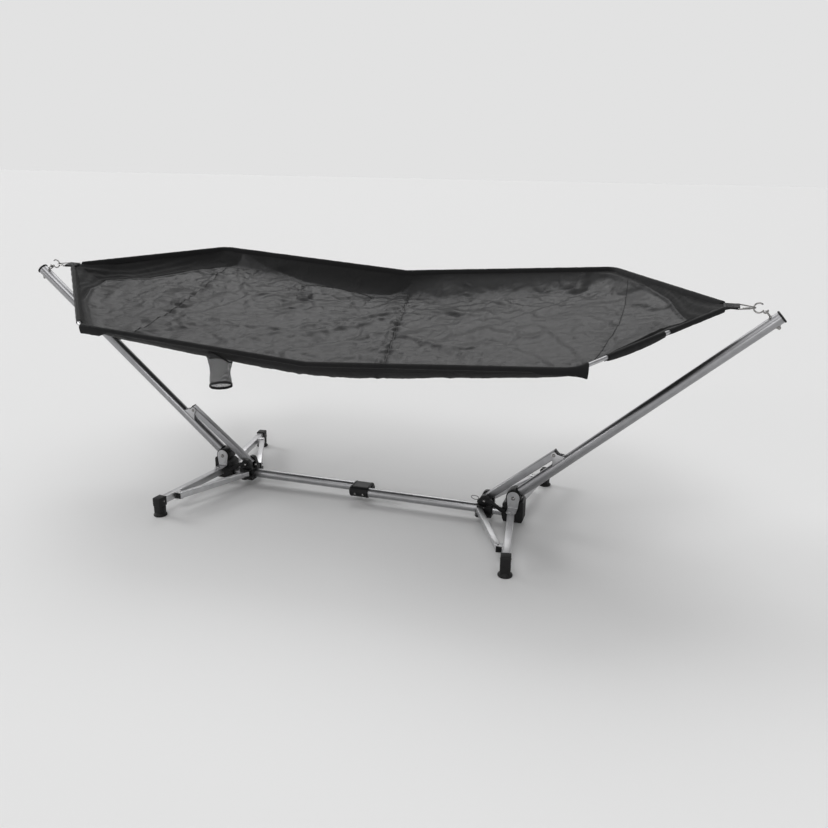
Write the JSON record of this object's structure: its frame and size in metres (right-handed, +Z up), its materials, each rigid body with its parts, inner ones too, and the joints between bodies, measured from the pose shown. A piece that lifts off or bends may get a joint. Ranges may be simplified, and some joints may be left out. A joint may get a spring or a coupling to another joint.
{
  "type": "hammock with folding stand",
  "caption": "Spreader-pole hammock hung by S-hooks from a folding aluminium stand with braced splayed legs.",
  "frame": {"origin": "on the floor under the middle of the rail", "axes": "+X along the hammock, +Y across it away from the viewer, +Z up"},
  "size_m": [2.7858, 1.0034, 0.8675],
  "materials": {
    "aluminium": "satin anodised tube",
    "steel": "bright plated steel",
    "bracket": "grey coated sheet steel",
    "black_plastic": "black moulded plastic",
    "bed_cloth": "dark grey woven cloth",
    "webbing": "black webbing"
  },
  "bodies": {
    "frame": {"rail_coupler": "black_plastic", "rail_right": "aluminium", "hub_block_right": "black_plastic", "arm_pivot_bolt_right": "steel", "hub_cheek_near_right": "bracket", "hub_cheek_far_right": "bracket", "rail_left": "aluminium", "hub_block_left": "black_plastic", "arm_pivot_bolt_left": "steel", "hub_cheek_near_left": "bracket", "hub_cheek_far_left": "bracket"},
    "hammock": {"bed_left": "bed_cloth", "bed_right": "bed_cloth", "book_pocket": "bed_cloth", "bottle_net": "bed_cloth", "link_left": "steel", "link_right": "steel", "side_pole_far_left": "aluminium", "side_pole_far_right": "aluminium", "side_pole_near_left": "aluminium", "side_pole_near_right": "aluminium", "strap_left": "webbing", "strap_right": "webbing"},
    "arm_right": {"arm_tube_right": "aluminium", "arm_cap_right": "black_plastic", "eye_bolt_right": "steel", "s_hook_right": "steel", "arm_socket_right": "black_plastic", "strut_bracket_right": "bracket"},
    "strut_right": {"strut_right": "aluminium", "strut_cap_right": "black_plastic"},
    "slider_right": {"slider_right": "black_plastic"},
    "pull_pin_right": {"pull_pin_right": "steel", "pull_ring_right": "steel"},
    "latch_right": {"latch_right": "black_plastic"},
    "leg_far_right": {"leg_far_right": "aluminium", "foot_far_right": "black_plastic"},
    "brace_far_right": {"brace_far_right": "aluminium"},
    "leg_near_right": {"leg_near_right": "aluminium", "foot_near_right": "black_plastic"},
    "brace_near_right": {"brace_near_right": "aluminium"},
    "arm_left": {"arm_tube_left": "aluminium", "arm_cap_left": "black_plastic", "eye_bolt_left": "steel", "s_hook_left": "steel", "arm_socket_left": "black_plastic", "strut_bracket_left": "bracket"},
    "strut_left": {"strut_left": "aluminium", "strut_cap_left": "black_plastic"},
    "slider_left": {"slider_left": "black_plastic"},
    "pull_pin_left": {"pull_pin_left": "steel", "pull_ring_left": "steel"},
    "latch_left": {"latch_left": "black_plastic"},
    "leg_near_left": {"leg_near_left": "aluminium", "foot_near_left": "black_plastic"},
    "brace_near_left": {"brace_near_left": "aluminium"},
    "leg_far_left": {"leg_far_left": "aluminium", "foot_far_left": "black_plastic"},
    "brace_far_left": {"brace_far_left": "aluminium"}
  },
  "joints": [
    {"name": "fold_right", "type": "hinge", "parent": "frame", "child": "arm_right", "pos_m": [0.59, -0.021, 0.107], "axis": [0, -1, 0], "range_deg": [0, 124.76], "deforming": ["bed_left", "bed_right", "book_pocket", "bottle_net", "link_left", "link_right", "side_pole_far_left", "side_pole_far_right", "side_pole_near_left", "side_pole_near_right", "strap_left", "strap_right"]},
    {"name": "strut_turn_right", "type": "hinge", "parent": "arm_right", "child": "strut_right", "pos_m": [0.72, -0.021, 0.27849], "axis": [0, -1, 0], "range_deg": [-158.68, 0.1]},
    {"name": "slider_slide_right", "type": "slide", "parent": "frame", "child": "slider_right", "axis": [-1, 0, 0], "range_m": [-0.0003, 0.4138]},
    {"name": "pull_pin_lift_right", "type": "slide", "parent": "slider_right", "child": "pull_pin_right", "axis": [0, 0, 1], "range_m": [0, 0.006]},
    {"name": "latch_turn_right", "type": "hinge", "parent": "slider_right", "child": "latch_right", "pos_m": [0.487, -0.056, 0.0846], "axis": [0, -1, 0], "range_deg": [0, 20]},
    {"name": "leg_turn_far_right", "type": "hinge", "parent": "frame", "child": "leg_far_right", "pos_m": [0.59, 0.041, 0.0532], "axis": [0, 0, 1], "range_deg": [-0.1, 75.83]},
    {"name": "brace_turn_far_right", "type": "hinge", "parent": "leg_far_right", "child": "brace_far_right", "pos_m": [0.6, 0.299, 0.0532], "axis": [0, 0, 1], "range_deg": [-125.19, 0.1]},
    {"name": "leg_turn_near_right", "type": "hinge", "parent": "frame", "child": "leg_near_right", "pos_m": [0.59, -0.083, 0.0532], "axis": [0, 0, -1], "range_deg": [-0.1, 75.83]},
    {"name": "brace_turn_near_right", "type": "hinge", "parent": "leg_near_right", "child": "brace_near_right", "pos_m": [0.6, -0.341, 0.0532], "axis": [0, 0, -1], "range_deg": [-125.19, 0.1]},
    {"name": "fold_left", "type": "hinge", "parent": "frame", "child": "arm_left", "pos_m": [-0.59, 0.021, 0.107], "axis": [0, 1, 0], "range_deg": [0, 124.76], "deforming": ["bed_left", "bed_right", "book_pocket", "bottle_net", "link_left", "link_right", "side_pole_far_left", "side_pole_far_right", "side_pole_near_left", "side_pole_near_right", "strap_left", "strap_right"]},
    {"name": "strut_turn_left", "type": "hinge", "parent": "arm_left", "child": "strut_left", "pos_m": [-0.72, 0.021, 0.27849], "axis": [0, 1, 0], "range_deg": [-158.68, 0.1]},
    {"name": "slider_slide_left", "type": "slide", "parent": "frame", "child": "slider_left", "axis": [1, 0, 0], "range_m": [-0.0003, 0.4138]},
    {"name": "pull_pin_lift_left", "type": "slide", "parent": "slider_left", "child": "pull_pin_left", "axis": [0, 0, 1], "range_m": [0, 0.006]},
    {"name": "latch_turn_left", "type": "hinge", "parent": "slider_left", "child": "latch_left", "pos_m": [-0.487, -0.014, 0.0846], "axis": [0, 1, 0], "range_deg": [0, 20]},
    {"name": "leg_turn_near_left", "type": "hinge", "parent": "frame", "child": "leg_near_left", "pos_m": [-0.59, -0.041, 0.0532], "axis": [0, 0, 1], "range_deg": [-0.1, 75.83]},
    {"name": "brace_turn_near_left", "type": "hinge", "parent": "leg_near_left", "child": "brace_near_left", "pos_m": [-0.6, -0.299, 0.0532], "axis": [0, 0, 1], "range_deg": [-125.19, 0.1]},
    {"name": "leg_turn_far_left", "type": "hinge", "parent": "frame", "child": "leg_far_left", "pos_m": [-0.59, 0.083, 0.0532], "axis": [0, 0, -1], "range_deg": [-0.1, 75.83]},
    {"name": "brace_turn_far_left", "type": "hinge", "parent": "leg_far_left", "child": "brace_far_left", "pos_m": [-0.6, 0.341, 0.0532], "axis": [0, 0, -1], "range_deg": [-125.19, 0.1]},
    {"name": "hammock_swing", "type": "hinge", "parent": "frame", "child": "hammock", "pos_m": [0, 0, 0.82673], "axis": [0.9999, -0.0162, 0], "range_deg": [-34, 15]}
  ],
  "couplings": [
    {"joint": "strut_turn_right", "follows": "fold_right", "ratio": -1.271},
    {"joint": "slider_slide_right", "follows": "fold_right", "m_per_rad": 0.1899},
    {"joint": "leg_turn_far_right", "follows": "fold_right", "ratio": 0.607},
    {"joint": "brace_turn_far_right", "follows": "fold_right", "ratio": -1.0027},
    {"joint": "leg_turn_near_right", "follows": "fold_right", "ratio": 0.607},
    {"joint": "brace_turn_near_right", "follows": "fold_right", "ratio": -1.0027},
    {"joint": "strut_turn_left", "follows": "fold_left", "ratio": -1.271},
    {"joint": "slider_slide_left", "follows": "fold_left", "m_per_rad": 0.1899},
    {"joint": "leg_turn_near_left", "follows": "fold_left", "ratio": 0.607},
    {"joint": "brace_turn_near_left", "follows": "fold_left", "ratio": -1.0027},
    {"joint": "leg_turn_far_left", "follows": "fold_left", "ratio": 0.607},
    {"joint": "brace_turn_far_left", "follows": "fold_left", "ratio": -1.0027}
  ]
}
